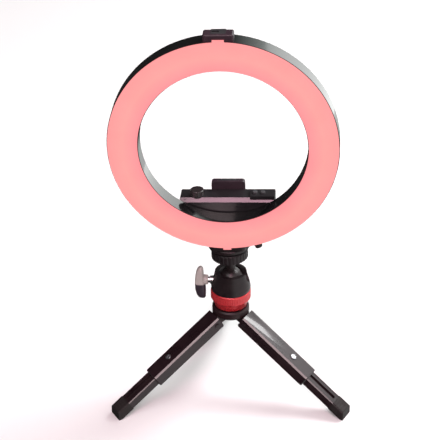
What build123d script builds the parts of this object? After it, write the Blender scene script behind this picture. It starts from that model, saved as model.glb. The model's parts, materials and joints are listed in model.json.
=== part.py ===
from build123d import *
from math import cos, radians, sin, sqrt
import os

# A ring light on a pocket tripod.  Millimetres, +Z up.  The object stands on Z = 0 and the origin is
# the middle of its outline on the surface.  X runs to the right of the lit face, Y runs to its back.

# Light ring
ring_radius = 100.0
hole_radius = 73.0
ring_depth = 19.0
shell_wall = 1.8
back_wall = 2.0
face_plate = 1.6
face_crown = 0.9
rim_gap = 0.6
skirt_depth = 5.0
board_front = 10.0
board_thickness = 1.6
screw_circle = 86.5
shell_screw_count = 5
vent_circle = 93.0
vent_count = 29
vent_start = -50.0
vent_range = 280.0
vent_length = 5.0
vent_width = 1.4
chip_rows = (81.0, 92.0)
chips_per_row = 48
chip_size = 2.8
chip_height = 0.8

# Place of the light over the ball
ball_height = 112.0
pan_angle = -4.2
lean_angle = 2.4
face_forward = 22.0
ring_height = 144.5

# Bridge box behind the foot of the ring
bridge_width = 84.6
bridge_depth = 18.0
bridge_top = 84.5
bridge_bottom = 47.5
bridge_wall = 1.8
cover_thickness = 1.6
bridge_edge = 3.2
bridge_mounts = ((-30.0, -78.0), (30.0, -78.0), (-14.0, -90.0), (14.0, -90.0))
cover_screw_x = 38.0
cover_screw_inset = 4.0
driver_board_top = 77.4
driver_board_length = 76.0

# Controls
dimmer_x = -27.0
control_y = 4.5
dimmer_radius = 6.2
dimmer_height = 5.6
dimmer_shaft_radius = 3.0
panel_width = 22.0
panel_height = 2.4
button_x = (24.5, 31.5)
button_radius = 2.2
button_travel = 0.8
button_proud = 1.5

# Cold shoes: the standard slot takes an 18.5 mm foot, 2 mm thick
shoe_slot = 18.7
shoe_slot_height = 2.1
shoe_mouth = 12.7
shoe_lip = 1.6
shoe_screw_radius = 1.25
shoe_screw_head = 2.1
cap_play = 0.1
cap_groove_width = 3.0
cap_groove_depth = 1.2
rear_shoe_width = 30.0
rear_shoe_length = 26.0
rear_shoe_rise = 7.6
rear_shoe_base = 2.3
rear_shoe_stop = 4.0

# Base block and 1/4 inch thread
block_bottom = 39.5
block_width = 32.0
block_front = 18.0
insert_radius = 4.2
thread_radius = 3.2
stud_radius = 3.12
stud_top = 44.0

# Cable gland under the ring
gland_angle = -75.0
gland_radius = 4.6
gland_bore = 1.9
gland_length = 6.5

# Ball head
ball_radius = 11.0
ball_play = 0.06
stem_radius = 4.5
wheel_bottom = 22.3
wheel_height = 10.0
wheel_radius = 16.6
platform_bottom = 33.5
platform_top = 38.5
platform_radius = 18.7
housing_bore = 12.0
cup_bottom = 98.0
cup_middle = 101.8
cup_top = 103.9
housing_top = 119.4
retainer_bottom = 114.2
retainer_lip = 117.6
retainer_mouth = 10.6
notch_half_width = 5.3
notch_centre = 114.4
knob_height = 109.0
knob_shaft_radius = 2.9
bush_radius = 3.9
knob_grip_inner = 22.8
knob_grip_outer = 33.0
knob_grip_top = 13.6
knob_grip_foot = 19.4
knob_grip_width = 8.4
knob_shaft_end = 30.0

# Hub
hub_radius = 17.0
hub_bottom = 71.0
hub_rim = 75.0
hub_top = 83.5
spigot_radius = 7.0
spigot_top = 90.2
collar_radius = 18.4
collar_top = 101.2
collar_seat = 91.0
collar_bore = 15.0
skirt_bore = 12.0
hinge_radius = 19.0
hinge_height = 69.7
hinge_pin_radius = 2.0
tongue_width = 9.0
tongue_end = 4.2
fork_gap = 9.6
fork_end = 6.5
bolt_end = 74.0
pin_head_radius = 2.5

# Legs, all three alike
leg_splay = 57.0
leg_names = {"front_left": 210.0, "front_right": 330.0, "back": 90.0}
tube_start = -5.2
tube_end = 75.0
tube_width = 17.5
tube_height = 13.0
tube_wall = 1.8
bar_start = 39.0
bar_end = 112.0
bar_play = 0.2
guide_screw_at = 52.0
groove_start = 45.0
groove_end = 105.0
groove_width = 3.4
groove_depth = 2.4
boot_start = 107.0
boot_end = 129.0
boot_wall = 0.6
foot_reach = 122.0

# The three feet span the outline, so the column stands in front of the middle
boot_half_width = tube_width / 2 - tube_wall - bar_play + boot_wall
column_y = -(foot_reach - foot_reach * cos(radians(60)) - boot_half_width * sin(radians(60))) / 2

STANDING = (Align.CENTER, Align.CENTER, Align.MIN)

# Frames: column and pan stand on the surface, head sits at the ball's centre, face on the lit side
pan_right = Vector(cos(radians(pan_angle)), sin(radians(pan_angle)), 0)
pan_up = Vector(0, 0, 1)
stem_up = pan_up * cos(radians(lean_angle)) - pan_right * sin(radians(lean_angle))
head_right = pan_right * cos(radians(lean_angle)) + pan_up * sin(radians(lean_angle))
column = Plane(origin=(0, column_y, 0))
pan = Plane(origin=(0, column_y, 0), x_dir=pan_right, z_dir=pan_up)
head = Plane(origin=(0, column_y, ball_height), x_dir=head_right, z_dir=stem_up)
knob = Plane(origin=(0, column_y, knob_height), x_dir=pan_up, z_dir=-pan_right)
face_origin = head.from_local_coords((0, -face_forward, ring_height))
face = Plane(origin=face_origin, x_dir=head.x_dir, z_dir=-head.y_dir)


def section_of(plane):
    """The plane that holds the given plane's X and its normal, for outlines of radius and height."""
    return Plane(origin=plane.origin, x_dir=plane.x_dir, z_dir=-plane.y_dir)


def turned(plane, outline, rounding=0.0):
    """Revolve a closed outline of (radius, height) points about the plane's normal."""
    with BuildSketch(section_of(plane)) as profile:
        with BuildLine():
            Polyline(outline, close=True)
        make_face()
        if rounding:
            fillet(profile.vertices(), rounding)
    revolve(profile.sketch, axis=Axis(plane.origin, plane.z_dir))


def screws(spots, head_radius, head_height, shank_radius, shank_length):
    """Cross-head screws with the head's outer face at each spot, driven along the plane's +Z."""
    with Locations(*spots):
        Cylinder(head_radius, head_height, align=STANDING)
    for x, y, z in spots:
        with Locations((x, y, z + head_height)):
            Cylinder(shank_radius, shank_length, align=STANDING)
    for blade in ((0.6, head_radius * 1.2), (head_radius * 1.2, 0.6)):
        with Locations(*spots):
            Box(*blade, head_height * 0.5, align=STANDING, mode=Mode.SUBTRACT)


def holes(spots, radius, length):
    """Round holes of one length, each from its spot along the plane's +Z."""
    with Locations(*spots):
        Cylinder(radius, length, align=STANDING, mode=Mode.SUBTRACT)


def around(radius, count, start, height):
    """Spots evenly spaced on a circle at one height."""
    step = 360.0 / count
    angles = [radians(start + i * step) for i in range(count)]
    return [(radius * cos(a), radius * sin(a), height) for a in angles]


# --- Light ring: shell, diffuser, LED board -------------------------------------------------------

inner_back = -ring_depth + back_wall
board_back = -board_front - board_thickness
shell_screw_spots = around(screw_circle, shell_screw_count, 90.0, 0.0)
top_shoe_depth = 12.0
top_shoe_base = 2.3
top_shoe_stop = 2.0
top_shoe_centre = -8.0
shoe_screw_offset = 4.6
shoe_screw_spots = [(-shoe_screw_offset, 1.0, 0), (shoe_screw_offset, 1.0, 0)]
boss_spots = shell_screw_spots + [(x, y, 0.0) for x, y in bridge_mounts]


def at_depth(spots, height):
    """The same spots at another height."""
    return [(x, y, height) for x, y, z in spots]


with BuildPart(face) as rear_shell:
    turned(
        face,
        [
            (hole_radius, -face_plate),
            (hole_radius, -ring_depth),
            (ring_radius, -ring_depth),
            (ring_radius, -face_plate),
            (ring_radius - shell_wall, -face_plate),
            (ring_radius - shell_wall, inner_back),
            (hole_radius + shell_wall, inner_back),
            (hole_radius + shell_wall, -face_plate),
        ],
    )
    circles = rear_shell.edges().filter_by(GeomType.CIRCLE)
    fillet(circles.group_by(Axis(face.origin, face.z_dir))[0], 1.7)
    with Locations(*at_depth(boss_spots, inner_back)):
        Cylinder(3.2, board_back - inner_back, align=STANDING)
    holes(at_depth(boss_spots, -ring_depth), 1.2, ring_depth)
    holes(at_depth(shell_screw_spots, -ring_depth), 2.5, 1.0)
    holes([(0, -screw_circle, -ring_depth)], 4.0, back_wall)
    for x, y, z in shoe_screw_spots:
        with Locations(Location((x, ring_radius, top_shoe_centre - y), (90, 0, 0))):
            Cylinder(shoe_screw_radius, 12.0, mode=Mode.SUBTRACT)
    with Locations((0, 0, -ring_depth)):
        with PolarLocations(vent_circle, vent_count, vent_start, vent_range, endpoint=True):
            Box(vent_length, vent_width, back_wall, align=STANDING, mode=Mode.SUBTRACT)

with BuildPart() as diffuser:
    plate_inner = hole_radius + rim_gap
    plate_outer = ring_radius - rim_gap
    skirt_outer = ring_radius - shell_wall - 0.2
    skirt_inner = hole_radius + shell_wall + 0.2
    with BuildSketch(section_of(face)) as profile:
        with BuildLine():
            ThreePointArc(
                (plate_inner, -0.5), ((plate_inner + plate_outer) / 2, face_crown), (plate_outer, -0.5)
            )
            Polyline(
                (plate_outer, -0.5),
                (plate_outer, -face_plate),
                (skirt_outer, -face_plate),
                (skirt_outer, -skirt_depth),
                (skirt_outer - 1.4, -skirt_depth),
                (skirt_outer - 1.4, -face_plate),
                (skirt_inner + 1.4, -face_plate),
                (skirt_inner + 1.4, -skirt_depth),
                (skirt_inner, -skirt_depth),
                (skirt_inner, -face_plate),
                (plate_inner, -face_plate),
                (plate_inner, -0.5),
            )
        make_face()
    revolve(axis=Axis(face.origin, face.z_dir))
    with BuildSketch(face.offset(-face_plate)):
        with Locations((0, ring_radius - 0.5)):
            Rectangle(10.0, 4.0)
        with Locations((0, -ring_radius + 0.5)):
            Rectangle(7.0, 3.0)
    extrude(amount=face_plate - 0.5)
    for spot in at_depth(shell_screw_spots, -board_front):
        with BuildSketch(face.offset(-board_front)):
            with Locations((spot[0], spot[1])):
                Circle(2.6)
                Circle(1.2, mode=Mode.SUBTRACT)
        extrude(amount=board_front - face_plate)

with BuildPart(face) as led_board:
    turned(
        face,
        [(77.4, -board_front), (95.6, -board_front), (95.6, board_back), (77.4, board_back)],
    )
    holes(at_depth(shell_screw_spots, board_back), 1.2, board_thickness)
    holes([(0, -screw_circle, board_back)], 3.0, board_thickness)

with BuildPart(face) as led_chips:
    for row_radius in chip_rows:
        with Locations((0, 0, -board_front)):
            with PolarLocations(row_radius, chips_per_row):
                Box(chip_size, chip_size, chip_height, align=STANDING)

with BuildPart(face.offset(-ring_depth)) as shell_screws:
    screws(shell_screw_spots, 2.4, 1.0, 1.2, 13.4)

# --- Cold shoes ------------------------------------------------------------------------------------


def cold_shoe(width, depth, base, stop):
    """A shoe on its plane: base plate, two lipped rails, closed at the front, open towards +Y."""
    height = base + shoe_slot_height + shoe_lip
    Box(width, depth, height, align=STANDING)
    with Locations((0, stop, base)):
        Box(shoe_slot, depth, shoe_slot_height, align=STANDING, mode=Mode.SUBTRACT)
    with Locations((0, stop, base)):
        Box(shoe_mouth, depth, height, align=STANDING, mode=Mode.SUBTRACT)


ring_top = head.from_local_coords((0, -face_forward - top_shoe_centre, ring_height + ring_radius))
top_shoe_plane = Plane(origin=ring_top, x_dir=head.x_dir, z_dir=head.z_dir)

with BuildPart(top_shoe_plane) as top_shoe:
    cold_shoe(26.0, top_shoe_depth, top_shoe_base, top_shoe_stop)
    with Locations((0, 0, -1.0)):
        Box(26.0, top_shoe_depth, 1.0, align=STANDING)
    with BuildSketch(face):
        Circle(ring_radius)
    extrude(amount=-2 * ring_depth, mode=Mode.SUBTRACT)
    holes(at_depth(shoe_screw_spots, -1.0), shoe_screw_radius, 5.0)
    holes(at_depth(shoe_screw_spots, top_shoe_base - 1.0), shoe_screw_head + 0.1, 1.0)
    upright = top_shoe.edges().filter_by(Axis(ring_top, head.z_dir))
    corners = [e for e in upright if abs(top_shoe_plane.to_local_coords(e.center()).X) > 12.9]
    fillet(corners, 1.6)
    level = top_shoe.edges().filter_by(Axis(ring_top, head.y_dir))
    shoulders = [e for e in level if abs(top_shoe_plane.to_local_coords(e.center()).X) > 12.9]
    fillet([e for e in shoulders if top_shoe_plane.to_local_coords(e.center()).Z > 5.9], 1.8)

shoe_screw_top = Plane(
    origin=top_shoe_plane.from_local_coords((0, 0, top_shoe_base)), x_dir=head.x_dir, z_dir=-head.z_dir
)
with BuildPart(shoe_screw_top) as top_shoe_screws:
    screws([(x, -y, z) for x, y, z in shoe_screw_spots], shoe_screw_head, 1.0, shoe_screw_radius, 5.0)



def shoe_cap(depth, base, stop):
    """A cap that fills a shoe: flange in the slot, face flush with the lips, finger groove on top."""
    cap_length = depth - stop - cap_play
    middle = (stop - cap_play) / 2 + cap_play
    with Locations((0, middle, base + cap_play)):
        Box(shoe_slot - 2 * cap_play, cap_length, shoe_slot_height - 2 * cap_play, align=STANDING)
    with Locations((0, middle, base + cap_play)):
        Box(shoe_mouth - 2 * cap_play, cap_length, shoe_slot_height + shoe_lip - cap_play, align=STANDING)
    with Locations((-shoe_mouth / 5, middle, base + shoe_slot_height + shoe_lip - cap_groove_depth)):
        Box(shoe_mouth / 2, cap_groove_width, cap_groove_depth, align=STANDING, mode=Mode.SUBTRACT)


with BuildPart(top_shoe_plane) as top_shoe_cap:
    shoe_cap(top_shoe_depth, top_shoe_base, top_shoe_stop)

# --- Bridge box: housing, cover, electronics, controls ---------------------------------------------

bridge_front = -face_forward + ring_depth
bridge_back = bridge_front + bridge_depth
box_back = bridge_back - cover_thickness
bridge_height = bridge_top - bridge_bottom
box_plane = Plane(
    origin=head.from_local_coords((0, bridge_front, 0)), x_dir=head.x_dir, z_dir=-head.y_dir
)
cover_spots = [
    (sx * cover_screw_x, y, 0.0)
    for sx in (-1, 1)
    for y in (bridge_bottom + cover_screw_inset, bridge_top - cover_screw_inset)
]
base_screw_spots = [(-11.0, 8.0, 0.0), (11.0, 8.0, 0.0)]
box_length = box_back - bridge_front
cover_plane = box_plane.offset(-bridge_depth)
rear_screw_spots = [(-3.6, -3.0, 0.0), (3.6, -3.0, 0.0)]
rear_screw_height = bridge_top + rear_shoe_rise - rear_shoe_length / 2 - 3.0
box_middle = (bridge_top + bridge_bottom) / 2

with BuildPart(head) as bridge_box:
    with BuildSketch(box_plane):
        with Locations((0, box_middle)):
            Rectangle(bridge_width, bridge_height)
    extrude(amount=-box_length)
    top_front = (
        bridge_box.edges()
        .filter_by(Axis(head.origin, head.x_dir))
        .group_by(Axis(head.origin, head.z_dir))[-1]
        .sort_by(Axis(head.origin, head.y_dir))[0]
    )
    chamfer(top_front, bridge_edge)
    ends = bridge_box.edges().filter_by(Axis(head.origin, head.y_dir))
    fillet(ends, 1.6)
    with BuildSketch(box_plane.offset(-bridge_wall)):
        with Locations((0, box_middle)):
            Rectangle(bridge_width - 2 * bridge_wall, bridge_height - 2 * bridge_wall)
    extrude(amount=-box_length, mode=Mode.SUBTRACT)
    with BuildSketch(box_plane):
        with Locations((0, box_middle)):
            Rectangle(bridge_width - 1.0, bridge_height - 1.0)
            Rectangle(
                bridge_width - 2 * bridge_wall - 0.2,
                bridge_height - 2 * bridge_wall - 0.2,
                mode=Mode.SUBTRACT,
            )
        with Locations((0, bridge_top)):
            Rectangle(bridge_width, 2 * bridge_edge + 4.0, mode=Mode.SUBTRACT)
    extrude(amount=-bridge_wall)
    with BuildSketch(box_plane.offset(-bridge_wall)):
        with Locations(*[(x, y) for x, y, z in cover_spots]):
            Circle(3.0)
        for side in (-1, 1):
            with Locations((side * 38.3, driver_board_top - 2.5)):
                Rectangle(4.6, 1.8)
    extrude(amount=-(box_length - bridge_wall))
    with Locations((dimmer_x, control_y, bridge_top - 2 * bridge_wall)):
        Cylinder(3.4, 4 * bridge_wall, align=STANDING, mode=Mode.SUBTRACT)
    with Locations(((bridge_width - panel_width) / 2, control_y, bridge_top - 0.5)):
        Box(panel_width, 13.0, panel_height + 0.5, align=STANDING)
    with Locations(*[(x, control_y, bridge_top - 3.0) for x in button_x]):
        Cylinder(button_radius + 0.1, 8.0, align=STANDING, mode=Mode.SUBTRACT)
    with Locations(*[(x, y, bridge_bottom) for x, y, z in base_screw_spots]):
        Cylinder(3.4, 7.0, align=STANDING)
        Cylinder(1.5, 7.0, align=STANDING, mode=Mode.SUBTRACT)
    with BuildSketch(box_plane):
        with Locations(*[(x, ring_height + y) for x, y in bridge_mounts]):
            Circle(1.2)
        with Locations((0, ring_height - screw_circle)):
            Circle(4.0)
    extrude(amount=-bridge_wall, mode=Mode.SUBTRACT)
    with BuildSketch(cover_plane):
        with Locations(*[(x, y) for x, y, z in cover_spots]):
            Circle(1.2)
    extrude(amount=box_length - bridge_wall, mode=Mode.SUBTRACT)

with BuildPart(cover_plane) as bridge_cover:
    with Locations((0, box_middle, 0)):
        Box(bridge_width, bridge_height, cover_thickness, align=STANDING)
    outline = bridge_cover.edges().filter_by(Axis(head.origin, head.y_dir))
    fillet(outline, 1.6)
    holes(cover_spots, 1.2, cover_thickness)
    holes(cover_spots, 2.5, 0.8)
    rear_holes = [(x, rear_screw_height, 0.0) for x, y, z in rear_screw_spots]
    holes(rear_holes, shoe_screw_radius, cover_thickness)
    with Locations(*[(x, bridge_bottom + 10.0, 0.0) for x in range(-18, 19, 6)]):
        Box(2.0, 10.0, cover_thickness, align=STANDING, mode=Mode.SUBTRACT)

with BuildPart(cover_plane) as cover_screws:
    screws(cover_spots, 2.4, 0.8, 1.2, 10.0)

inside_front = box_plane.offset(-bridge_wall - 1.2)
with BuildPart(inside_front) as bridge_mount_screws:
    screws([(x, ring_height + y, 0) for x, y in bridge_mounts], 2.4, 1.2, 1.2, bridge_wall + 6.0)

with BuildPart(head) as driver_board:
    with Locations((0, 6.0, driver_board_top - 1.6)):
        Box(driver_board_length, 11.0, 1.6, align=STANDING)

with BuildPart(head) as driver_parts:
    with Locations((-12.0, 5.0, driver_board_top), (4.0, 6.0, driver_board_top)):
        Box(5.0, 5.0, 1.2, align=STANDING)
    with Locations((12.0, 6.0, driver_board_top)):
        Box(6.0, 6.0, 3.0, align=STANDING)
    with Locations((-4.0, 6.0, driver_board_top)):
        Cylinder(2.4, 3.6, align=STANDING)

with BuildPart(head) as tact_switches:
    with Locations(*[(x, control_y, driver_board_top) for x in button_x]):
        Box(5.6, 5.6, 1.8, align=STANDING)
        Cylinder(1.5, 2.3, align=STANDING)

switch_top = driver_board_top + 2.3
button_bottom = switch_top + button_travel + 0.05
panel_top = bridge_top + panel_height


def button(x):
    """A button cap with a retaining flange under the wall."""
    with Locations((x, control_y, button_bottom)):
        Cylinder(button_radius, panel_top + button_proud - button_bottom, align=STANDING)
        Cylinder(2.9, bridge_top - bridge_wall - 0.1 - button_bottom, align=STANDING)


with BuildPart(head) as power_button:
    button(button_x[0])
    rims = power_button.edges().filter_by(GeomType.CIRCLE)
    fillet(rims.group_by(Axis(head.origin, head.z_dir))[-1], 0.5)

with BuildPart(head) as mode_button:
    button(button_x[1])
    rims = mode_button.edges().filter_by(GeomType.CIRCLE)
    fillet(rims.group_by(Axis(head.origin, head.z_dir))[-1], 0.5)

pot_top = bridge_top - bridge_wall - 0.2
with BuildPart(head) as dimmer_pot:
    with Locations((dimmer_x, control_y, driver_board_top)):
        Cylinder(4.6, pot_top - driver_board_top, align=STANDING)
    with Locations((dimmer_x, control_y, driver_board_top + 0.8)):
        Cylinder(dimmer_shaft_radius + 0.06, 12.0, align=STANDING, mode=Mode.SUBTRACT)

dimmer_bottom = bridge_top + 0.4
with BuildPart(head) as dimmer_shaft:
    with Locations((dimmer_x, control_y, driver_board_top + 1.0)):
        Cylinder(dimmer_shaft_radius, dimmer_bottom + 4.0 - driver_board_top - 1.0, align=STANDING)

with BuildPart(head) as dimmer_knob:
    with Locations((dimmer_x, control_y, dimmer_bottom)):
        Cylinder(dimmer_radius, dimmer_height, align=STANDING)
    top_rim = dimmer_knob.edges().filter_by(GeomType.CIRCLE).group_by(Axis(head.origin, head.z_dir))[-1]
    fillet(top_rim, 0.8)
    with Locations((dimmer_x, control_y, dimmer_bottom)):
        Cylinder(dimmer_shaft_radius, 4.0, align=STANDING, mode=Mode.SUBTRACT)
        with PolarLocations(dimmer_radius + 0.3, 18):
            Cylinder(0.6, dimmer_height, align=STANDING, mode=Mode.SUBTRACT)
    with Locations((dimmer_x, control_y + dimmer_radius / 2, dimmer_bottom + dimmer_height - 0.4)):
        Box(0.8, 4.0, 1.0, align=STANDING, mode=Mode.SUBTRACT)

rear_shoe_plane = Plane(
    origin=head.from_local_coords((0, bridge_back, bridge_top + rear_shoe_rise - rear_shoe_length / 2)),
    x_dir=-head.x_dir,
    z_dir=head.y_dir,
)
with BuildPart(rear_shoe_plane) as rear_shoe:
    cold_shoe(rear_shoe_width, rear_shoe_length, rear_shoe_base, rear_shoe_stop)
    upright = rear_shoe.edges().filter_by(Axis(head.origin, head.y_dir))
    corners = [e for e in upright if abs(rear_shoe_plane.to_local_coords(e.center()).X) > shoe_slot / 2 + 1]
    fillet(corners, 2.4)
    holes(at_depth(rear_screw_spots, 0.0), shoe_screw_radius, rear_shoe_base)
    holes(at_depth(rear_screw_spots, rear_shoe_base - 1.0), shoe_screw_head + 0.1, 1.0)

with BuildPart(rear_shoe_plane) as rear_shoe_cap:
    shoe_cap(rear_shoe_length, rear_shoe_base, rear_shoe_stop)

rear_screw_top = Plane(
    origin=rear_shoe_plane.from_local_coords((0, 0, rear_shoe_base)), x_dir=-head.x_dir, z_dir=-head.y_dir
)
with BuildPart(rear_screw_top) as rear_shoe_screws:
    rear_spots = [(x, -y, z) for x, y, z in rear_screw_spots]
    screws(rear_spots, shoe_screw_head, 1.0, shoe_screw_radius, rear_shoe_base + 0.8)

# --- Base block, thread insert, screws, cable gland ------------------------------------------------

with BuildPart(head) as base_block:
    block_depth = block_front + bridge_back
    with Locations((0, (bridge_back - block_front) / 2, block_bottom)):
        Box(block_width, block_depth, bridge_bottom - block_bottom, align=STANDING)
    upright = base_block.edges().filter_by(Axis(head.origin, head.z_dir))
    fillet(upright, 4.0)
    with BuildSketch(face):
        Circle(ring_radius)
    extrude(amount=-ring_depth, mode=Mode.SUBTRACT)
    with Locations((0, 0, block_bottom)):
        Cylinder(insert_radius, 4.8, align=STANDING, mode=Mode.SUBTRACT)
    with Locations(*[(x, y, block_bottom) for x, y, z in base_screw_spots]):
        Cylinder(1.5, 12.0, align=STANDING, mode=Mode.SUBTRACT)
        Cylinder(2.7, 1.6, align=STANDING, mode=Mode.SUBTRACT)

with BuildPart(head) as thread_insert:
    with Locations((0, 0, block_bottom)):
        Cylinder(insert_radius, 4.8, align=STANDING)
        Cylinder(thread_radius, 4.8, align=STANDING, mode=Mode.SUBTRACT)

with BuildPart(head.offset(block_bottom)) as base_screws:
    screws(base_screw_spots, 2.6, 1.6, 1.5, 11.0)

gland_x = cos(radians(gland_angle))
gland_y = sin(radians(gland_angle))
gland_out = face.from_local_coords((gland_x, gland_y, 0)) - face.origin
gland = Plane(
    origin=face.from_local_coords((ring_radius * gland_x, ring_radius * gland_y, -ring_depth / 2)),
    x_dir=face.z_dir,
    z_dir=gland_out,
)
with BuildPart(gland) as cable_gland:
    turned(
        gland,
        [
            (gland_bore, -1.0),
            (gland_radius, -1.0),
            (gland_radius, 1.6),
            (gland_radius - 0.7, 2.2),
            (gland_radius - 1.4, gland_length),
            (gland_bore, gland_length),
        ],
    )
    with BuildSketch(face):
        Circle(ring_radius)
    extrude(amount=-ring_depth, mode=Mode.SUBTRACT)

# --- Ball, lock wheel and platform -----------------------------------------------------------------

with BuildPart(head) as ball_stem:
    Sphere(ball_radius)
    Cylinder(stem_radius, platform_bottom, align=STANDING)
    with Locations((0, 0, platform_bottom)):
        Cylinder(stud_radius, stud_top - platform_bottom, align=STANDING)
    tip = ball_stem.edges().filter_by(GeomType.CIRCLE).group_by(Axis(head.origin, head.z_dir))[-1]
    chamfer(tip, 0.6)

with BuildPart(head) as platform:
    turned(
        head,
        [
            (stud_radius, platform_bottom),
            (13.0, platform_bottom),
            (platform_radius - 0.6, platform_bottom + 1.4),
            (platform_radius, platform_bottom + 2.0),
            (platform_radius, platform_top - 0.6),
            (platform_radius - 0.6, platform_top),
            (stud_radius, platform_top),
        ],
    )

with BuildPart(head) as platform_pad:
    with Locations((0, 0, platform_top)):
        Cylinder(platform_radius - 1.2, 0.9, align=STANDING)
        Cylinder(4.4, 0.9, align=STANDING, mode=Mode.SUBTRACT)

with BuildPart(head) as lock_wheel:
    turned(
        head,
        [
            (stem_radius + 0.1, wheel_bottom),
            (wheel_radius - 3.0, wheel_bottom),
            (wheel_radius, wheel_bottom + 1.6),
            (wheel_radius, wheel_bottom + wheel_height - 1.0),
            (wheel_radius - 1.0, wheel_bottom + wheel_height),
            (stem_radius + 0.1, wheel_bottom + wheel_height),
        ],
    )
    with Locations((0, 0, wheel_bottom)):
        with PolarLocations(wheel_radius + 0.6, 28):
            Cylinder(1.1, wheel_height, align=STANDING, mode=Mode.SUBTRACT)

# --- Ball housing, cup, retainer, collar -----------------------------------------------------------


def cut_notch():
    """Cut the notch at the right that the stem drops into."""
    with BuildSketch(Plane(origin=pan.origin, x_dir=pan.y_dir, z_dir=pan.x_dir)) as notch:
        with Locations((0, notch_centre)):
            Circle(notch_half_width)
        with Locations((0, notch_centre + 10.0)):
            Rectangle(2 * notch_half_width, 20.0)
    extrude(notch.sketch, amount=30.0, mode=Mode.SUBTRACT)


seat_radius = ball_radius + ball_play


def seat(height):
    """Radius of the spherical seat at a height above the surface."""
    return sqrt(seat_radius**2 - (height - ball_height) ** 2)


with BuildPart(pan) as ball_housing:
    turned(
        pan,
        [
            (spigot_radius + 0.08, hub_top + 0.55),
            (skirt_bore - 0.1, hub_top + 0.55),
            (skirt_bore - 0.1, collar_seat),
            (collar_bore, collar_seat),
            (collar_bore, collar_top + 0.2),
            (17.9, collar_top + 0.2),
            (18.1, 104.0),
            (17.5, 107.5),
            (16.5, 111.0),
            (15.5, 114.5),
            (15.0, 117.5),
            (14.6, housing_top),
            (housing_bore, housing_top),
            (housing_bore, cup_bottom),
            (10.0, cup_bottom),
            (10.0, spigot_top - 0.2),
            (spigot_radius + 0.08, spigot_top - 0.2),
        ],
    )
    cut_notch()
    with BuildSketch(knob):
        Circle(bush_radius)
    extrude(amount=25.0, mode=Mode.SUBTRACT)

with BuildPart(pan) as ball_cup:
    with BuildSketch(section_of(pan)) as profile:
        with BuildLine():
            Polyline(
                (0, ball_height - seat_radius),
                (0, cup_bottom),
                (housing_bore - 0.05, cup_bottom),
                (housing_bore - 0.05, cup_top),
                (seat(cup_top), cup_top),
            )
            ThreePointArc(
                (seat(cup_top), cup_top), (seat(cup_middle), cup_middle), (0, ball_height - seat_radius)
            )
        make_face()
    revolve(axis=Axis(pan.origin, pan.z_dir))

retainer_middle = (retainer_bottom + retainer_lip) / 2
with BuildPart(pan) as retainer_ring:
    with BuildSketch(section_of(pan)) as profile:
        with BuildLine():
            Polyline(
                (seat(retainer_bottom), retainer_bottom),
                (housing_bore, retainer_bottom),
                (housing_bore, housing_top - 0.4),
                (retainer_mouth, housing_top - 0.4),
                (seat(retainer_lip), retainer_lip),
            )
            ThreePointArc(
                (seat(retainer_lip), retainer_lip),
                (seat(retainer_middle), retainer_middle),
                (seat(retainer_bottom), retainer_bottom),
            )
        make_face()
    revolve(axis=Axis(pan.origin, pan.z_dir))
    cut_notch()

with BuildPart(pan) as red_collar:
    turned(
        pan,
        [
            (skirt_bore, hub_top + 0.8),
            (14.2, hub_top + 0.8),
            (14.6, hub_top + 1.2),
            (14.9, 87.6),
            (16.2, 88.2),
            (16.4, 91.6),
            (collar_radius - 0.5, 92.2),
            (collar_radius, 92.8),
            (collar_radius, collar_top - 1.2),
            (collar_radius - 0.4, collar_top - 0.4),
            (collar_radius - 1.2, collar_top),
            (collar_bore, collar_top),
            (collar_bore, collar_seat),
            (skirt_bore, collar_seat),
        ],
    )

# --- Lock knob -------------------------------------------------------------------------------------

with BuildPart(knob) as knob_bush:
    turned(
        knob,
        [
            (knob_shaft_radius + 0.06, 12.1),
            (bush_radius, 12.1),
            (bush_radius, 18.6),
            (bush_radius - 0.4, 19.0),
            (knob_shaft_radius + 0.06, 19.0),
        ],
    )

with BuildPart(knob) as knob_shaft:
    with Locations((0, 0, 11.5)):
        Cylinder(knob_shaft_radius, knob_shaft_end - 11.5, align=STANDING)

top_outer = (knob_grip_outer - 2.8, knob_grip_top)
top_inner = (knob_grip_outer - 7.0, knob_grip_top)
foot_outer = (knob_grip_outer - 5.2, -knob_grip_foot)
foot_inner = (knob_grip_inner, -knob_grip_foot)
with BuildPart(knob) as knob_grip:
    with BuildSketch(Plane(origin=knob.origin, x_dir=knob.z_dir, z_dir=knob.y_dir)):
        with BuildLine():
            ThreePointArc(foot_outer, (knob_grip_outer, -3.0), top_outer)
            Line(top_outer, top_inner)
            ThreePointArc(top_inner, (knob_grip_inner + 1.0, 0.0), foot_inner)
            Line(foot_inner, foot_outer)
        make_face()
    extrude(amount=knob_grip_width / 2, both=True)
    wing_ends = knob_grip.edges().filter_by(Axis(knob.origin, knob.y_dir))
    fillet(wing_ends, 1.8)
    grip_boss = knob.offset(knob_grip_inner - 2.0)
    with BuildSketch(grip_boss):
        Circle(4.8)
    extrude(amount=4.0)
    with BuildSketch(grip_boss):
        Circle(knob_shaft_radius)
    extrude(amount=knob_shaft_end - knob_grip_inner + 2.0, mode=Mode.SUBTRACT)

# --- Hub -------------------------------------------------------------------------------------------

def radial(azimuth):
    """The direction a leg points in, seen from above."""
    return Vector(cos(radians(azimuth)), sin(radians(azimuth)), 0)


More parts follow.
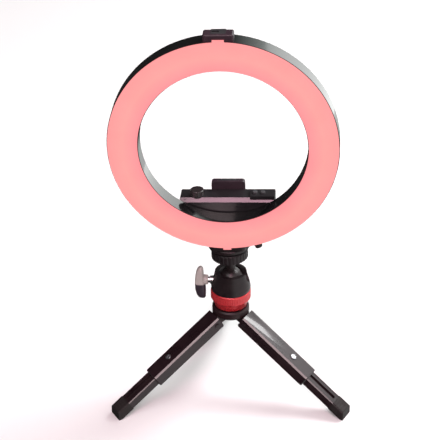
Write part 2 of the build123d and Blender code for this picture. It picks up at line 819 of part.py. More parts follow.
tongue_root = 8.0
tongue_root_top = 78.0
tongue_shoulder = hinge_radius - tongue_end / 2
tongue_crown = (
    hinge_radius + tongue_end * cos(radians(leg_splay)),
    hinge_height + tongue_end * sin(radians(leg_splay)),
)
with BuildPart(column) as hub_body:
    turned(
        column,
        [
            (3.0, hub_bottom),
            (9.0, hub_bottom),
            (10.0, hub_bottom + 1.0),
            (10.0, hub_rim),
            (15.0, hub_rim),
            (hub_radius, hub_rim + 2.2),
            (hub_radius, hub_top - 1.2),
            (hub_radius - 1.2, hub_top),
            (spigot_radius, hub_top),
            (spigot_radius, spigot_top),
            (3.0, spigot_top),
        ],
    )
    for azimuth in leg_names.values():
        upright_plane = Plane(
            origin=column.origin, x_dir=radial(azimuth), z_dir=radial(azimuth).cross(pan_up)
        )
        with BuildSketch(upright_plane):
            with BuildLine():
                Polyline(
                    (tongue_root, tongue_root_top),
                    (tongue_root, hub_bottom),
                    (tongue_shoulder, hinge_height - tongue_end * sin(radians(60))),
                    tongue_crown,
                    (tongue_shoulder, hub_rim + 1.05),
                    (tongue_shoulder, tongue_root_top),
                    close=True,
                )
            make_face()
            with Locations((hinge_radius, hinge_height)):
                Circle(tongue_end)
                Circle(hinge_pin_radius, mode=Mode.SUBTRACT)
        extrude(amount=tongue_width / 2, both=True)

with BuildPart(column) as leg_pins:
    for azimuth in leg_names.values():
        across = pan_up.cross(radial(azimuth))
        centre = column.origin + radial(azimuth) * hinge_radius + pan_up * hinge_height
        pin_line = Plane(origin=centre, x_dir=radial(azimuth), z_dir=across)
        with BuildSketch(pin_line):
            Circle(hinge_pin_radius)
        extrude(amount=tube_width / 2 + 0.1, both=True)
        for side in (-1, 1):
            with BuildSketch(pin_line.offset(side * (tube_width / 2 + 0.1))):
                Circle(pin_head_radius)
            extrude(amount=side * 0.7)

with BuildPart(column) as hub_cap:
    turned(
        column,
        [
            (0, hub_bottom - 1.6),
            (4.8, hub_bottom - 1.6),
            (5.2, hub_bottom - 1.2),
            (5.2, hub_bottom),
            (3.0, hub_bottom),
            (3.0, hub_bottom + 2.5),
            (0, hub_bottom + 2.5),
        ],
    )

with BuildPart(column) as pan_washer:
    turned(column, [(7.0, hub_top), (11.5, hub_top), (11.5, hub_top + 0.5), (7.0, hub_top + 0.5)])

with BuildPart(column) as pan_retainer:
    turned(
        column,
        [(3.0, spigot_top), (9.4, spigot_top), (9.4, spigot_top + 1.6), (3.0, spigot_top + 1.6)],
    )

with BuildPart(column) as hub_bolt:
    with Locations((0, 0, spigot_top + 1.6)):
        Cylinder(5.0, 4.0, align=STANDING)
    with Locations((0, 0, bolt_end)):
        Cylinder(3.0, spigot_top + 1.6 - bolt_end, align=STANDING)
    with BuildSketch(column.offset(spigot_top + 3.0)):
        RegularPolygon(2.5, 6)
    extrude(amount=5.0, mode=Mode.SUBTRACT)

# --- Legs ------------------------------------------------------------------------------------------

splay = radians(leg_splay)
pieces = {}


def leg_plane(azimuth):
    """Frame of one leg: origin on its hinge, X along the leg, Y across it, Z out of its top face."""
    out = radial(azimuth)
    along = out * sin(splay) - pan_up * cos(splay)
    normal = out * cos(splay) + pan_up * sin(splay)
    hinge = column.origin + out * hinge_radius + pan_up * hinge_height
    return Plane(origin=hinge, x_dir=along, z_dir=normal)


def bar_along(plane, start, end, width, height, edge, mode=Mode.ADD):
    """A bar along the leg with its four long edges chamfered."""
    start_plane = Plane(
        origin=plane.from_local_coords((start, 0, 0)), x_dir=plane.y_dir, z_dir=plane.x_dir
    )
    with BuildSketch(start_plane) as outline:
        Rectangle(width, height)
        chamfer(outline.vertices(), edge)
    extrude(outline.sketch, amount=end - start, mode=mode)


bar_width = tube_width - 2 * tube_wall - 2 * bar_play
bar_height = tube_height - 2 * tube_wall - 2 * bar_play
for leg_name, azimuth in leg_names.items():
    leg = leg_plane(azimuth)

    with BuildPart(leg) as leg_tube:
        bar_along(leg, tube_start, tube_end, tube_width, tube_height, 1.4)
        tube_ends = leg_tube.faces().sort_by(Axis(leg.origin, leg.x_dir))
        chamfer(tube_ends[-1].edges(), 0.9)
        inner_width = tube_width - 2 * tube_wall
        inner_height = tube_height - 2 * tube_wall
        bar_along(leg, tube_start, tube_end, inner_width, inner_height, 0.6, Mode.SUBTRACT)
        with Locations((0, 0, -tube_height / 2)):
            Box(2 * fork_end, fork_gap, tube_height / 2, align=STANDING, mode=Mode.SUBTRACT)
        with BuildSketch(Plane(origin=leg.origin, x_dir=leg.x_dir, z_dir=-leg.y_dir)):
            with Locations((-tube_height / 2, -tube_height / 2)):
                Rectangle(tube_height, tube_height)
            Circle(tube_height / 2, mode=Mode.SUBTRACT)
        extrude(amount=tube_width, both=True, mode=Mode.SUBTRACT)
        with BuildSketch(Plane(origin=leg.origin, x_dir=leg.x_dir, z_dir=-leg.y_dir)):
            Circle(hinge_pin_radius + 0.06)
        extrude(amount=tube_width, both=True, mode=Mode.SUBTRACT)
        with Locations((guide_screw_at, 0, 0)):
            Cylinder(1.4, tube_height, align=STANDING, mode=Mode.SUBTRACT)
    pieces[f"leg_tube_{leg_name}"] = leg_tube

    with BuildPart(leg) as guide_screw:
        with Locations((guide_screw_at, 0, tube_height / 2)):
            Cylinder(2.8, 1.0, align=STANDING)
        crown = guide_screw.edges().group_by(Axis(leg.origin, leg.z_dir))[-1]
        fillet(crown, 0.5)
        with Locations((guide_screw_at, 0, bar_height / 2 - groove_depth + 0.3)):
            Cylinder(1.4, tube_height / 2 - bar_height / 2 + groove_depth - 0.3, align=STANDING)
        with Locations((guide_screw_at, 0, tube_height / 2 + 0.6)):
            Box(3.4, 0.7, 1.0, align=STANDING, mode=Mode.SUBTRACT)
    pieces[f"guide_screw_{leg_name}"] = guide_screw

    with BuildPart(leg) as leg_bar:
        bar_along(leg, bar_start, bar_end, bar_width, bar_height, 0.8)
        with Locations(((groove_start + groove_end) / 2, 0, bar_height / 2 - groove_depth)):
            Box(groove_end - groove_start, groove_width, groove_depth, align=STANDING, mode=Mode.SUBTRACT)
        rounded = leg_bar.edges().filter_by(Axis(leg.origin, leg.z_dir))
        fillet(rounded, groove_width / 2 - 0.1)
    pieces[f"leg_bar_{leg_name}"] = leg_bar

    with BuildPart(leg) as leg_boot:
        bar_along(leg, boot_start, boot_end, bar_width + 2 * boot_wall, bar_height + 2 * boot_wall, 1.2)
        bar_along(leg, boot_start, bar_end, bar_width, bar_height, 0.8, Mode.SUBTRACT)
        tip = Plane(
            origin=column.origin + radial(azimuth) * foot_reach, x_dir=pan_up, z_dir=radial(azimuth)
        )
        split(bisect_by=tip, keep=Keep.BOTTOM)
        split(bisect_by=column, keep=Keep.TOP)
    pieces[f"leg_boot_{leg_name}"] = leg_boot

# --- Write every piece -----------------------------------------------------------------------------

pieces.update(
    rear_shell=rear_shell,
    diffuser=diffuser,
    led_board=led_board,
    led_chips=led_chips,
    shell_screws=shell_screws,
    top_shoe=top_shoe,
    top_shoe_screws=top_shoe_screws,
    top_shoe_cap=top_shoe_cap,
    bridge_box=bridge_box,
    bridge_cover=bridge_cover,
    cover_screws=cover_screws,
    bridge_mount_screws=bridge_mount_screws,
    driver_board=driver_board,
    driver_parts=driver_parts,
    tact_switches=tact_switches,
    power_button=power_button,
    mode_button=mode_button,
    dimmer_pot=dimmer_pot,
    dimmer_shaft=dimmer_shaft,
    dimmer_knob=dimmer_knob,
    rear_shoe=rear_shoe,
    rear_shoe_cap=rear_shoe_cap,
    rear_shoe_screws=rear_shoe_screws,
    base_block=base_block,
    thread_insert=thread_insert,
    base_screws=base_screws,
    cable_gland=cable_gland,
    ball_stem=ball_stem,
    platform=platform,
    platform_pad=platform_pad,
    lock_wheel=lock_wheel,
    ball_housing=ball_housing,
    ball_cup=ball_cup,
    retainer_ring=retainer_ring,
    red_collar=red_collar,
    knob_bush=knob_bush,
    knob_shaft=knob_shaft,
    knob_grip=knob_grip,
    hub_body=hub_body,
    leg_pins=leg_pins,
    hub_cap=hub_cap,
    pan_washer=pan_washer,
    pan_retainer=pan_retainer,
    hub_bolt=hub_bolt,
)
os.makedirs("parts", exist_ok=True)
for name, piece in pieces.items():
    piece.part.label = name
    export_step(piece.part, f"parts/{name}.step")
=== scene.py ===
import bmesh
import bpy
import json
import math
from mathutils import Matrix, Vector


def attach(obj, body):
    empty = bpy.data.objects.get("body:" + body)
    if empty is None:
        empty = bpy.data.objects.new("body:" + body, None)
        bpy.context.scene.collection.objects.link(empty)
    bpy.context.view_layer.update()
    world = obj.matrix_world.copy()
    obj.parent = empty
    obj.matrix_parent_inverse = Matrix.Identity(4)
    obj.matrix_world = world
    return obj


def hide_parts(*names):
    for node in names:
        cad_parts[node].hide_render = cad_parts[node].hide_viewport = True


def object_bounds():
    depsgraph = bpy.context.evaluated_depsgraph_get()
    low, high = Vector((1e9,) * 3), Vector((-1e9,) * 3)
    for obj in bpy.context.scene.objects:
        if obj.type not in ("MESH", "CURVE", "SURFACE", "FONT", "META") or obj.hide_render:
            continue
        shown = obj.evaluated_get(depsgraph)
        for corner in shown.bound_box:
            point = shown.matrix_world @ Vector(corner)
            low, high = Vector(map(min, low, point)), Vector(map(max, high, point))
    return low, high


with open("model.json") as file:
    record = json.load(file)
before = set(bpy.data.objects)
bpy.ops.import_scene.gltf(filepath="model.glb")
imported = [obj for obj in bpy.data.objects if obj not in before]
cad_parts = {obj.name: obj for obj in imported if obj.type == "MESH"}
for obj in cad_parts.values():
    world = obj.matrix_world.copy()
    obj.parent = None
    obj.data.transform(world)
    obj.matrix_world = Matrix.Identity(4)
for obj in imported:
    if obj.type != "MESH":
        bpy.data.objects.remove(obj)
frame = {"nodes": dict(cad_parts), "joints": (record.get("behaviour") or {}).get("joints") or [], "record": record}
cad_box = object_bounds()
MM = 0.001

# ---------------------------------------------------------------------------------------------
# Frames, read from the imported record
# ---------------------------------------------------------------------------------------------
joints = {j["name"]: j for j in frame["joints"]}
slot_of = {s["node"]: s["material_slot"] for s in frame["record"]["subparts"]}


def axes_matrix(origin, right, up):
    """Matrix of a frame with X to the right, Y to the back and Z up its own axis."""
    back = up.cross(right)
    m = Matrix((right, back, up)).transposed().to_4x4()
    m.translation = origin
    return m


ball_centre = Vector(joints["head_tilt"]["pos_m"])
stem_up = Vector(joints["light_turn"]["axis"]).normalized()
head_right = Vector(joints["head_tilt"]["axis"]).cross(stem_up).normalized()
knob_out = Vector(joints["lock_knob_turn"]["axis"]).normalized()
knob_height = joints["lock_knob_turn"]["pos_m"][2]
UP = Vector((0, 0, 1))
HEAD = axes_matrix(ball_centre, head_right, stem_up)
PAN = axes_matrix(Vector((ball_centre.x, ball_centre.y, 0)), -knob_out, UP)


def local_points(node, matrix):
    """A node's vertices in a frame's own axes."""
    inverse = matrix.inverted()
    return [inverse @ v.co for v in frame["nodes"][node].data.vertices]


def local_box(node, matrix):
    """A node's lowest and highest corners in a frame's own axes."""
    points = local_points(node, matrix)
    low = Vector([min(p[i] for p in points) for i in range(3)])
    high = Vector([max(p[i] for p in points) for i in range(3)])
    return low, high


shell_low, shell_high = local_box("rear_shell", HEAD)
ring_radius = (shell_high.x - shell_low.x) / 2
ring_middle = Vector(((shell_low.x + shell_high.x) / 2, 0, (shell_low.z + shell_high.z) / 2))
hole_radius = min(
    math.hypot(p.x - ring_middle.x, p.z - ring_middle.z) for p in local_points("rear_shell", HEAD)
)
face_front = local_box("diffuser", HEAD)[0].y
RING = HEAD @ Matrix.Translation(ring_middle)

# ---------------------------------------------------------------------------------------------
# Mesh helpers
# ---------------------------------------------------------------------------------------------


def new_object(name, mesh, material, body, slot, *replaced):
    """Link a mesh as a piece with its material, body and the CAD nodes that it stands for; the slot argument is
    not used.
    """
    piece = bpy.data.objects.new(name, mesh)
    bpy.context.scene.collection.objects.link(piece)
    mesh.materials.append(material)
    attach(piece, body)
    if replaced:
        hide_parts(*replaced)
    return piece


def grid_mesh(name, rows, columns, point, closed_rows=True, matrix=None):
    """A lathe-like quad mesh: point(row, angle) gives (x, y, z), rows close into a loop."""
    bm = bmesh.new()
    grid = []
    for i in range(rows):
        ring = []
        for j in range(columns):
            co = Vector(point(i, 2 * math.pi * j / columns))
            ring.append(bm.verts.new(matrix @ co if matrix else co))
        grid.append(ring)
    last = rows if closed_rows else rows - 1
    for i in range(last):
        for j in range(columns):
            a, b = grid[i], grid[(i + 1) % rows]
            k = (j + 1) % columns
            bm.faces.new((a[j], a[k], b[k], b[j]))
    bmesh.ops.recalc_face_normals(bm, faces=bm.faces)
    mesh = bpy.data.meshes.new(name)
    bm.to_mesh(mesh)
    bm.free()
    for polygon in mesh.polygons:
        polygon.use_smooth = True
    return mesh


# ---------------------------------------------------------------------------------------------
# Materials
# ---------------------------------------------------------------------------------------------


def shader_base(name):
    """A new node material with its Principled shader and object coordinates."""
    material = bpy.data.materials.new(name)
    material.use_nodes = True
    nodes = material.node_tree.nodes
    shader = nodes["Principled BSDF"]
    coords = nodes.new("ShaderNodeTexCoord")
    return material, nodes, material.node_tree.links, shader, coords.outputs["Object"]


def noise(nodes, links, coords, scale, detail=4.0, roughness=0.6, stretch=None):
    """A noise texture in object space, stretched along axes where asked."""
    texture = nodes.new("ShaderNodeTexNoise")
    texture.inputs["Scale"].default_value = scale
    texture.inputs["Detail"].default_value = detail
    texture.inputs["Roughness"].default_value = roughness
    if stretch:
        mapping = nodes.new("ShaderNodeMapping")
        mapping.inputs["Scale"].default_value = stretch
        links.new(coords, mapping.inputs["Vector"])
        coords = mapping.outputs["Vector"]
    links.new(coords, texture.inputs["Vector"])
    return texture.outputs["Fac"]


def spread(nodes, links, value, low, high):
    """Map a noise value, which mostly lies between 0.3 and 0.7, to a range."""
    ramp = nodes.new("ShaderNodeMapRange")
    ramp.inputs["From Min"].default_value = 0.3
    ramp.inputs["From Max"].default_value = 0.7
    ramp.inputs["To Min"].default_value = low
    ramp.inputs["To Max"].default_value = high
    links.new(value, ramp.inputs["Value"])
    return ramp.outputs["Result"]


def two_tone(nodes, links, value, first, second):
    """A colour between two, by a value."""
    mix = nodes.new("ShaderNodeMix")
    mix.data_type = "RGBA"
    mix.inputs[6].default_value = (*first, 1.0)
    mix.inputs[7].default_value = (*second, 1.0)
    links.new(value, mix.inputs[0])
    return mix.outputs[2]


def add_bump(nodes, links, shader, height, strength, distance, below=None):
    """A bump from a height value, on top of another bump where given."""
    bump = nodes.new("ShaderNodeBump")
    bump.inputs["Strength"].default_value = strength
    bump.inputs["Distance"].default_value = distance
    links.new(height, bump.inputs["Height"])
    if below:
        links.new(below, bump.inputs["Normal"])
    links.new(bump.outputs["Normal"], shader.inputs["Normal"])
    return bump.outputs["Normal"]


def surface(
    name, dark, light, rough, metallic=0.0, grain=900.0, grain_depth=0.00004, mottle=60.0,
    coat=0.0, stretch=None, specular=0.5,
):
    """A moulded, cast or anodised surface: mottled colour, uneven gloss and a fine grain."""
    material, nodes, links, shader, coords = shader_base(name)
    shader.inputs["Metallic"].default_value = metallic
    shader.inputs["Specular IOR Level"].default_value = specular
    shader.inputs["Coat Weight"].default_value = coat
    shader.inputs["Coat Roughness"].default_value = 0.08
    broad = noise(nodes, links, coords, mottle)
    fine = noise(nodes, links, coords, grain, 3.0, 0.55, stretch)
    tone = spread(nodes, links, broad, 0.0, 1.0)
    links.new(two_tone(nodes, links, tone, dark, light), shader.inputs["Base Color"])
    links.new(spread(nodes, links, broad, rough[0], rough[1]), shader.inputs["Roughness"])
    add_bump(nodes, links, shader, fine, 0.6, grain_depth)
    return material


def lit_diffuser():
    """Frosted plastic lit from inside: pinker at its edges, paler along the middle of the band."""
    material, nodes, links, shader, coords = shader_base("diffuser_lit")
    shader.inputs["Base Color"].default_value = (0.10, 0.045, 0.045, 1.0)
    shader.inputs["Roughness"].default_value = 0.42
    shader.inputs["Specular IOR Level"].default_value = 0.25
    centre = RING @ Vector((0, face_front, 0))
    offset = nodes.new("ShaderNodeVectorMath")
    offset.operation = "SUBTRACT"
    offset.inputs[1].default_value = centre
    links.new(coords, offset.inputs[0])
    length = nodes.new("ShaderNodeVectorMath")
    length.operation = "LENGTH"
    links.new(offset.outputs["Vector"], length.inputs[0])
    across = nodes.new("ShaderNodeMapRange")
    across.inputs["From Min"].default_value = hole_radius
    across.inputs["From Max"].default_value = ring_radius
    links.new(length.outputs["Value"], across.inputs["Value"])
    ramp = nodes.new("ShaderNodeValToRGB")
    stops = ramp.color_ramp.elements
    stops[0].position = 0.0
    stops[0].color = (1.0, 0.27, 0.29, 1.0)
    stops[1].position = 1.0
    stops[1].color = (1.0, 0.31, 0.31, 1.0)
    between = ((0.15, (1.0, 0.30, 0.31, 1)), (0.5, (0.97, 0.35, 0.325, 1)), (0.88, (1.0, 0.32, 0.31, 1)))
    for place, colour in between:
        stop = stops.new(place)
        stop.color = colour
    links.new(across.outputs["Result"], ramp.inputs["Fac"])
    cloud = noise(nodes, links, coords, 38.0, 3.0)
    strength = spread(nodes, links, cloud, 0.97, 1.03)
    links.new(ramp.outputs["Color"], shader.inputs["Emission Color"])
    links.new(strength, shader.inputs["Emission Strength"])
    frost = noise(nodes, links, coords, 2200.0, 2.0)
    add_bump(nodes, links, shader, frost, 0.35, 0.00003)
    return material


def brushed(name, tone, rough, stretch):
    """Turned or brushed metal with fine lines."""
    material, nodes, links, shader, coords = shader_base(name)
    shader.inputs["Metallic"].default_value = 1.0
    lines = noise(nodes, links, coords, 700.0, 4.0, 0.7, stretch)
    cloud = noise(nodes, links, coords, 90.0)
    darker = tuple(c * 0.82 for c in tone)
    links.new(two_tone(nodes, links, lines, darker, tone), shader.inputs["Base Color"])
    links.new(spread(nodes, links, cloud, rough[0], rough[1]), shader.inputs["Roughness"])
    add_bump(nodes, links, shader, lines, 0.4, 0.00002)
    return material


def circuit_board():
    """Green solder mask with faint tracks."""
    material, nodes, links, shader, coords = shader_base("board_green")
    shader.inputs["Roughness"].default_value = 0.35
    tracks = nodes.new("ShaderNodeTexBrick")
    tracks.inputs["Scale"].default_value = 300.0
    tracks.inputs["Color1"].default_value = (0.02, 0.16, 0.06, 1)
    tracks.inputs["Color2"].default_value = (0.025, 0.2, 0.08, 1)
    tracks.inputs["Mortar"].default_value = (0.05, 0.3, 0.12, 1)
    links.new(coords, tracks.inputs["Vector"])
    links.new(tracks.outputs["Color"], shader.inputs["Base Color"])
    add_bump(nodes, links, shader, tracks.outputs["Fac"], 0.4, 0.00003)
    return material


def led_phosphor():
    """Glowing phosphor of the LED chips."""
    material, nodes, links, shader, coords = shader_base("led_yellow")
    shader.inputs["Emission Color"].default_value = (1.0, 0.55, 0.5, 1)
    shader.inputs["Emission Strength"].default_value = 1.0
    cloud = noise(nodes, links, coords, 500.0)
    links.new(two_tone(nodes, links, cloud, (0.9, 0.72, 0.3), (1.0, 0.85, 0.45)), shader.inputs["Base Color"])
    shader.inputs["Roughness"].default_value = 0.3
    return material


# Painted highlight on the grip's top: its lower edge lies this far under the knob's shaft, and it fades over this
# distance on either side of that edge.
GRIP_HIGHLIGHT_EDGE = 3.9 * MM
GRIP_HIGHLIGHT_BLEND = 0.5 * MM


def grip_with_painted_highlight():
    """The lock knob's grip: its own black below an edge just under the shaft, with a painted highlight that makes
    it pale above that edge.
    """
    material, nodes, links, shader, coords = shader_base("grip_black")
    parts = nodes.new("ShaderNodeSeparateXYZ")
    links.new(coords, parts.inputs[0])
    cloud = noise(nodes, links, coords, 160.0)
    edge = nodes.new("ShaderNodeMapRange")
    highlight_edge_height = knob_height - GRIP_HIGHLIGHT_EDGE
    edge.inputs["From Min"].default_value = highlight_edge_height - GRIP_HIGHLIGHT_BLEND
    edge.inputs["From Max"].default_value = highlight_edge_height + GRIP_HIGHLIGHT_BLEND
    links.new(parts.outputs["Z"], edge.inputs["Value"])
    # Painted highlight: the pale colour paints the grip's top as lit. The dark colour below it is the grip's own
    # black.
    pale = two_tone(nodes, links, cloud, (0.30, 0.27, 0.25), (0.42, 0.39, 0.37))
    dark = two_tone(nodes, links, cloud, (0.022, 0.016, 0.024), (0.04, 0.03, 0.042))
    mix = nodes.new("ShaderNodeMix")
    mix.data_type = "RGBA"
    links.new(edge.outputs["Result"], mix.inputs[0])
    links.new(dark, mix.inputs[6])
    links.new(pale, mix.inputs[7])
    links.new(mix.outputs[2], shader.inputs["Base Color"])
    links.new(spread(nodes, links, cloud, 0.3, 0.42), shader.inputs["Roughness"])
    add_bump(nodes, links, shader, noise(nodes, links, coords, 1500.0), 0.5, 0.00004)
    return material


def ribbed_rubber():
    """Moulded rubber with fine ribs across it and a dusty, uneven tone."""
    material, nodes, links, shader, coords = shader_base("rubber_black")
    cloud = noise(nodes, links, coords, 120.0)
    tone = two_tone(nodes, links, cloud, (0.010, 0.007, 0.007), (0.024, 0.018, 0.018))
    links.new(tone, shader.inputs["Base Color"])
    links.new(spread(nodes, links, cloud, 0.55, 0.8), shader.inputs["Roughness"])
    shader.inputs["Specular IOR Level"].default_value = 0.3
    ribs = nodes.new("ShaderNodeTexWave")
    ribs.bands_direction = "Z"
    ribs.inputs["Scale"].default_value = 210.0
    ribs.inputs["Distortion"].default_value = 0.2
    links.new(coords, ribs.inputs["Vector"])
    ribbed = add_bump(nodes, links, shader, ribs.outputs["Fac"], 0.5, 0.00025)
    add_bump(nodes, links, shader, noise(nodes, links, coords, 700.0), 0.6, 0.00008, ribbed)
    return material


MATERIALS = {
    "shell_black": surface(
        "shell_black", (0.003, 0.003, 0.0035), (0.006, 0.006, 0.0065), (0.08, 0.15),
        grain=1500, grain_depth=0.000004, coat=0.5, specular=0.9,
    ),
    "diffuser_lit": lit_diffuser(),
    "board_white": surface("board_white", (0.78, 0.78, 0.76), (0.86, 0.86, 0.84), (0.3, 0.45)),
    "led_yellow": led_phosphor(),
    "screw_steel": brushed("screw_steel", (0.34, 0.34, 0.36), (0.22, 0.36), (1, 6, 1)),
    "shoe_black": surface(
        "shoe_black", (0.020, 0.010, 0.016), (0.034, 0.018, 0.026), (0.34, 0.48),
        grain=1800, grain_depth=0.00003, specular=0.35,
    ),
    "cap_black": surface(
        "cap_black", (0.014, 0.013, 0.015), (0.026, 0.025, 0.027), (0.42, 0.58),
        grain=1500, grain_depth=0.00004, specular=0.35,
    ),
    "box_black": surface(
        "box_black", (0.008, 0.007, 0.008), (0.015, 0.013, 0.015), (0.30, 0.42),
        grain=1300, grain_depth=0.00002, coat=0.5, specular=0.4,
    ),
    "board_green": circuit_board(),
    "chip_black": surface("chip_black", (0.02, 0.02, 0.02), (0.035, 0.035, 0.035), (0.5, 0.6)),
    "button_grey": surface("button_grey", (0.03, 0.03, 0.032), (0.05, 0.05, 0.055), (0.5, 0.65)),
    "dimmer_black": surface(
        "dimmer_black", (0.014, 0.010, 0.011), (0.026, 0.02, 0.021), (0.22, 0.34),
        coat=0.3,
    ),
    "block_black": surface(
        "block_black", (0.008, 0.005, 0.006), (0.018, 0.012, 0.013), (0.34, 0.48),
        specular=0.3,
    ),
    "brass": brushed("brass", (0.72, 0.5, 0.22), (0.2, 0.34), (1, 1, 8)),
    "rubber_black": ribbed_rubber(),
    "ball_steel": brushed("ball_steel", (0.78, 0.76, 0.76), (0.22, 0.34), (1, 1, 10)),
    "ball_black": surface(
        "ball_black", (0.010, 0.006, 0.007), (0.020, 0.013, 0.014), (0.28, 0.40),
        grain=1500, grain_depth=0.00002, specular=0.4,
    ),
    "anodised_black": surface(
        "anodised_black", (0.008, 0.005, 0.006), (0.017, 0.011, 0.012), (0.30, 0.42),
        grain=2200, grain_depth=0.00002, stretch=(1, 1, 5), specular=0.35,
    ),
    "wheel_black": surface(
        "wheel_black", (0.008, 0.005, 0.006), (0.017, 0.011, 0.013), (0.32, 0.46),
        grain=1800, grain_depth=0.00003, specular=0.35,
    ),
    "nylon_white": surface("nylon_white", (0.7, 0.7, 0.66), (0.8, 0.8, 0.76), (0.4, 0.55)),
    "anodised_red": surface(
        "anodised_red", (0.46, 0.024, 0.030), (0.60, 0.040, 0.048), (0.26, 0.38),
        0.35, 2000, 0.00002, coat=0.25,
    ),
    "grip_black": grip_with_painted_highlight(),
    "hub_black": surface(
        "hub_black", (0.012, 0.004, 0.005), (0.024, 0.010, 0.012), (0.34, 0.48),
        grain=900, grain_depth=0.00006, specular=0.3,
    ),
    "leg_black": surface(
        "leg_black", (0.010, 0.004, 0.006), (0.020, 0.009, 0.012), (0.24, 0.36),
        grain=1400, grain_depth=0.000012, coat=0.5, specular=0.25,
    ),
    "bar_black": surface(
        "bar_black", (0.010, 0.004, 0.006), (0.020, 0.010, 0.012), (0.26, 0.38),
        grain=1500, grain_depth=0.000012, stretch=(1, 1, 4), coat=0.35, specular=0.25,
    ),
}

for node, obj in frame["nodes"].items():
    for slot in obj.material_slots:
        slot.material = MATERIALS[slot_of[node]]


COLLAR_BORE = 15.0 * MM
COLLAR_FOOT = 12.0 * MM
COLLAR_TIER = 7.9 * MM
COLLAR_SEAT = 6.8 * MM
BAND_ROWS = 14
FLUTES = 72
FLUTE_DEPTH = 0.22 * MM
COLUMNS_PER_FLUTE = 8


def fluted_collar():
    """The red collar: two turned tiers, the upper one with fine flutes round it."""
    low, high = local_box("red_collar", PAN)
    radius = (high.x - low.x) / 2
    tier = low.z + COLLAR_TIER
    band_low = tier + 0.9 * MM
    band_high = high.z - 1.6 * MM
    lower = [
        (COLLAR_FOOT, low.z),
        (radius - 4.2 * MM, low.z),
        (radius - 3.6 * MM, low.z + 0.4 * MM),
        (radius - 3.5 * MM, low.z + 3.3 * MM),
        (radius - 2.4 * MM, low.z + 3.9 * MM),
        (radius - 2.1 * MM, low.z + 4.3 * MM),
        (radius - 2.0 * MM, tier - 0.6 * MM),
        (radius - 0.6 * MM, tier),
        (radius - 0.1 * MM, tier + 0.5 * MM),
    ]
    step = (band_high - band_low) / BAND_ROWS
    band = [(radius, band_low + step * i) for i in range(BAND_ROWS + 1)]
    upper = [
        (radius - 0.1 * MM, band_high + 0.4 * MM),
        (radius - 0.5 * MM, band_high + 1.1 * MM),
        (radius - 1.3 * MM, high.z),
        (COLLAR_BORE, high.z),
        (COLLAR_BORE, low.z + COLLAR_SEAT),
        (COLLAR_FOOT, low.z + COLLAR_SEAT),
    ]
    outline = lower + band + upper
    first = len(lower)
    last = len(lower) + len(band) - 1

    def point(i, angle):
        r, h = outline[i]
        if first <= i <= last:
            fade = min(1.0, (i - first) / 2, (last - i) / 2)
            r -= FLUTE_DEPTH * fade * (0.5 - 0.5 * math.cos(FLUTES * angle))
        return (r * math.cos(angle), r * math.sin(angle), h)

    mesh = grid_mesh("red_collar_fluted", len(outline), FLUTES * COLUMNS_PER_FLUTE, point, True, PAN)
    new_object(
        "red_collar_fluted", mesh, MATERIALS["anodised_red"], "ball_housing", "anodised_red", "red_collar"
    )


fluted_collar()


# The wing grip's outline in mm, foot to top: height over the knob's shaft, then inner and outer
# distance from the pan axis
WING = (
    (-19.4, 24.6, 27.4), (-19.0, 23.4, 29.0), (-18.0, 22.9, 30.0), (-15.5, 22.8, 31.3), (-10.0, 22.8, 32.7),
    (-4.0, 23.2, 33.0), (0.0, 24.2, 32.9), (5.5, 24.8, 32.3), (9.0, 25.0, 31.6), (11.0, 25.2, 30.9),
    (12.6, 25.7, 29.9), (13.3, 26.3, 29.1), (13.6, 27.0, 28.4),
)


WING_COLUMNS = 32
WING_DEPTH = 4.2
WING_ROUNDING = 3.0
WING_SQUARENESS = 0.7
BOSS_MIDDLE = 22.9 * MM
BOSS_RADII = (4.4 * MM, 4.8 * MM)
BOSS_DEPTH = 4.0 * MM
BOSS_SIDES = 48


def wing_grip():
    """The lock knob's grip: a rounded wing with the hole's boss towards the housing."""
    hub = PAN @ Matrix.Translation((0, 0, knob_height))

    def point(i, angle):
        height, inner, outer = WING[i]
        half = (outer - inner) / 2
        ends = min(height - WING[0][0], WING[-1][0] - height) / WING_ROUNDING
        depth = WING_DEPTH * min(1.0, 0.45 + 0.55 * ends)
        c = math.cos(angle)
        s = math.sin(angle)
        x = math.copysign(abs(c) ** WING_SQUARENESS, c) * half - (inner + outer) / 2
        y = math.copysign(abs(s) ** WING_SQUARENESS, s) * depth
        return (x * MM, y * MM, height * MM)

    mesh = grid_mesh("knob_wing", len(WING), WING_COLUMNS, point, False, hub)
    bm = bmesh.new()
    bm.from_mesh(mesh)
    bmesh.ops.holes_fill(bm, edges=[e for e in bm.edges if e.is_boundary])
    turn = hub @ Matrix.Rotation(-math.pi / 2, 4, "Y")
    boss = turn @ Matrix.Translation((0, 0, BOSS_MIDDLE))
    bmesh.ops.create_cone(
        bm, cap_ends=True, segments=BOSS_SIDES, radius1=BOSS_RADII[0], radius2=BOSS_RADII[1],
        depth=BOSS_DEPTH, matrix=boss,
    )
    bmesh.ops.recalc_face_normals(bm, faces=bm.faces)
    for face in bm.faces:
        face.smooth = True
    bm.to_mesh(mesh)
    bm.free()
    wing = new_object("knob_wing", mesh, MATERIALS["grip_black"], "lock_knob", "grip_black", "knob_grip")
    edge = wing.modifiers.new("bevel", "BEVEL")
    edge.width = 0.3 * MM
    edge.segments = 2
    edge.limit_method = "ANGLE"
    edge.angle_limit = math.radians(40)


wing_grip()


LEG_BEVEL = 0.0003
BOX_BEVEL = 0.0002
WELD_DISTANCE = 0.000002
SHARP_ANGLE = 38
BEVELLED_BOXES = (
    "bridge_box", "bridge_cover", "rear_shoe", "rear_shoe_cap", "top_shoe", "top_shoe_cap", "base_block",
)


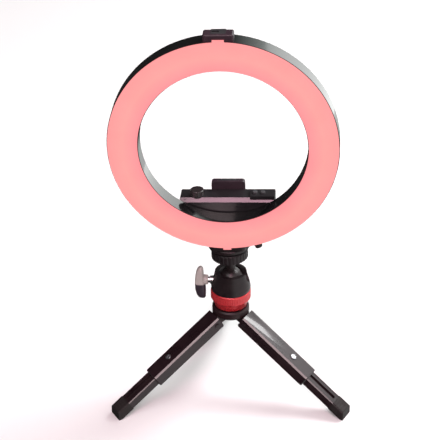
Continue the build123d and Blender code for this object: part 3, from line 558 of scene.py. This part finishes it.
def soften_edges(width, nodes):
    """Small bevels on CAD pieces, so that their edges catch the light."""
    for node in nodes:
        obj = frame["nodes"][node]
        weld = obj.modifiers.new("weld", "WELD")
        weld.merge_threshold = WELD_DISTANCE
        bevel = obj.modifiers.new("bevel", "BEVEL")
        bevel.width = width
        bevel.segments = 2
        bevel.limit_method = "ANGLE"
        bevel.angle_limit = math.radians(SHARP_ANGLE)
        bevel.harden_normals = True


soften_edges(LEG_BEVEL, [n for n in frame["nodes"] if n.startswith(("leg_tube", "leg_bar", "leg_boot"))])
soften_edges(BOX_BEVEL, BEVELLED_BOXES)


# ---------------------------------------------------------------------------------------------
# Floor, lights, camera
# ---------------------------------------------------------------------------------------------
FLOOR_HALF = 6.0


def floor():
    """A plain pale flat floor, wider than any view needs; glossy surfaces don't mirror it."""
    mesh = bpy.data.meshes.new("floor")
    half = FLOOR_HALF
    mesh.from_pydata(
        [(-half, -half, 0), (half, -half, 0), (half, half, 0), (-half, half, 0)], [], [(0, 1, 2, 3)]
    )
    plane = bpy.data.objects.new("floor", mesh)
    bpy.context.scene.collection.objects.link(plane)
    material, nodes, links, shader, coords = shader_base("floor_pale")
    shader.inputs["Roughness"].default_value = 0.9
    shader.inputs["Specular IOR Level"].default_value = 0.1
    cloud = noise(nodes, links, coords, 3.0)
    links.new(two_tone(nodes, links, cloud, (0.86, 0.86, 0.86), (0.9, 0.9, 0.9)), shader.inputs["Base Color"])
    mesh.materials.append(material)
    plane.visible_glossy = False


def area_light(name, place, target, size, power, colour=(1, 1, 1)):
    """A soft box at a place, aimed at a point."""
    light = bpy.data.lights.new(name, "AREA")
    light.shape = "RECTANGLE"
    light.size, light.size_y = size
    light.energy = power
    light.color = colour
    lamp = bpy.data.objects.new(name, light)
    bpy.context.scene.collection.objects.link(lamp)
    lamp.location = place
    lamp.visible_camera = False
    lamp.rotation_mode = "QUATERNION"
    lamp.rotation_quaternion = (Vector(target) - Vector(place)).to_track_quat("-Z", "Y")


def studio():
    """Five soft boxes (two of them pinkish, over the front) in a room that is bright on its right only."""
    middle = (cad_box[0] + cad_box[1]) / 2
    area_light("key", (0.95, 0.55, 1.35), middle, (0.7, 0.7), 24.0)
    area_light("front", (0.0, -1.65, 1.26), middle, (1.0, 0.3), 13.0, (1.0, 0.78, 0.80))
    area_light("pink", (0.0, -0.95, 1.62), middle, (0.7, 0.22), 7.0, (1.0, 0.42, 0.60))
    area_light("fill", (-0.9, -1.2, 2.2), middle, (1.8, 1.4), 22.0)
    area_light("rim", (0.62, 1.25, 0.30), middle, (0.75, 1.1), 2.4, (0.95, 1.0, 0.97))
    world = bpy.data.worlds.new("room")
    world.use_nodes = True
    nodes = world.node_tree.nodes
    links = world.node_tree.links
    background = nodes["Background"]
    background.inputs["Strength"].default_value = 1.0
    coords = nodes.new("ShaderNodeTexCoord")
    parts = nodes.new("ShaderNodeSeparateXYZ")
    links.new(coords.outputs["Generated"], parts.inputs[0])
    ramp = nodes.new("ShaderNodeValToRGB")
    shift = nodes.new("ShaderNodeMapRange")
    shift.inputs["From Min"].default_value = -1.0
    shift.inputs["From Max"].default_value = 1.0
    links.new(parts.outputs["X"], shift.inputs["Value"])
    links.new(shift.outputs["Result"], ramp.inputs["Fac"])
    stops = ramp.color_ramp.elements
    stops[0].position = 0.0
    stops[0].color = (0.10, 0.10, 0.10, 1)
    stops[1].position = 1.0
    stops[1].color = (0.85, 0.88, 0.86, 1)
    between = (
        (0.2, (0.02, 0.02, 0.02, 1)),
        (0.53, (0.03, 0.03, 0.03, 1)),
        (0.63, (0.62, 0.68, 0.65, 1)),
        (0.72, (1.0, 1.0, 1.0, 1)),
    )
    for place, tone in between:
        stop = stops.new(place)
        stop.color = tone
    links.new(ramp.outputs["Color"], background.inputs["Color"])
    bpy.context.scene.world = world


CAMERA_BACK = 1.2
CAMERA_HEIGHT = 0.897
CAMERA_SIDE = -0.0099
CAMERA_PITCH = math.radians(31.09)
FOCAL_WIDTHS = 1570 / 440
SENSOR_WIDTH = 36.0


def camera():
    """A long lens, looking down at the light from in front of the column."""
    data = bpy.data.cameras.new("camera")
    data.sensor_width = SENSOR_WIDTH
    data.lens = SENSOR_WIDTH * FOCAL_WIDTHS
    data.clip_start = 0.05
    eye = bpy.data.objects.new("camera", data)
    bpy.context.scene.collection.objects.link(eye)
    eye.location = (ball_centre.x + CAMERA_SIDE, ball_centre.y - CAMERA_BACK, CAMERA_HEIGHT)
    eye.rotation_euler = (math.pi / 2 - CAMERA_PITCH, 0, 0)
    bpy.context.scene.camera = eye


floor()
studio()
camera()
bpy.context.scene.view_settings.view_transform = "Standard"
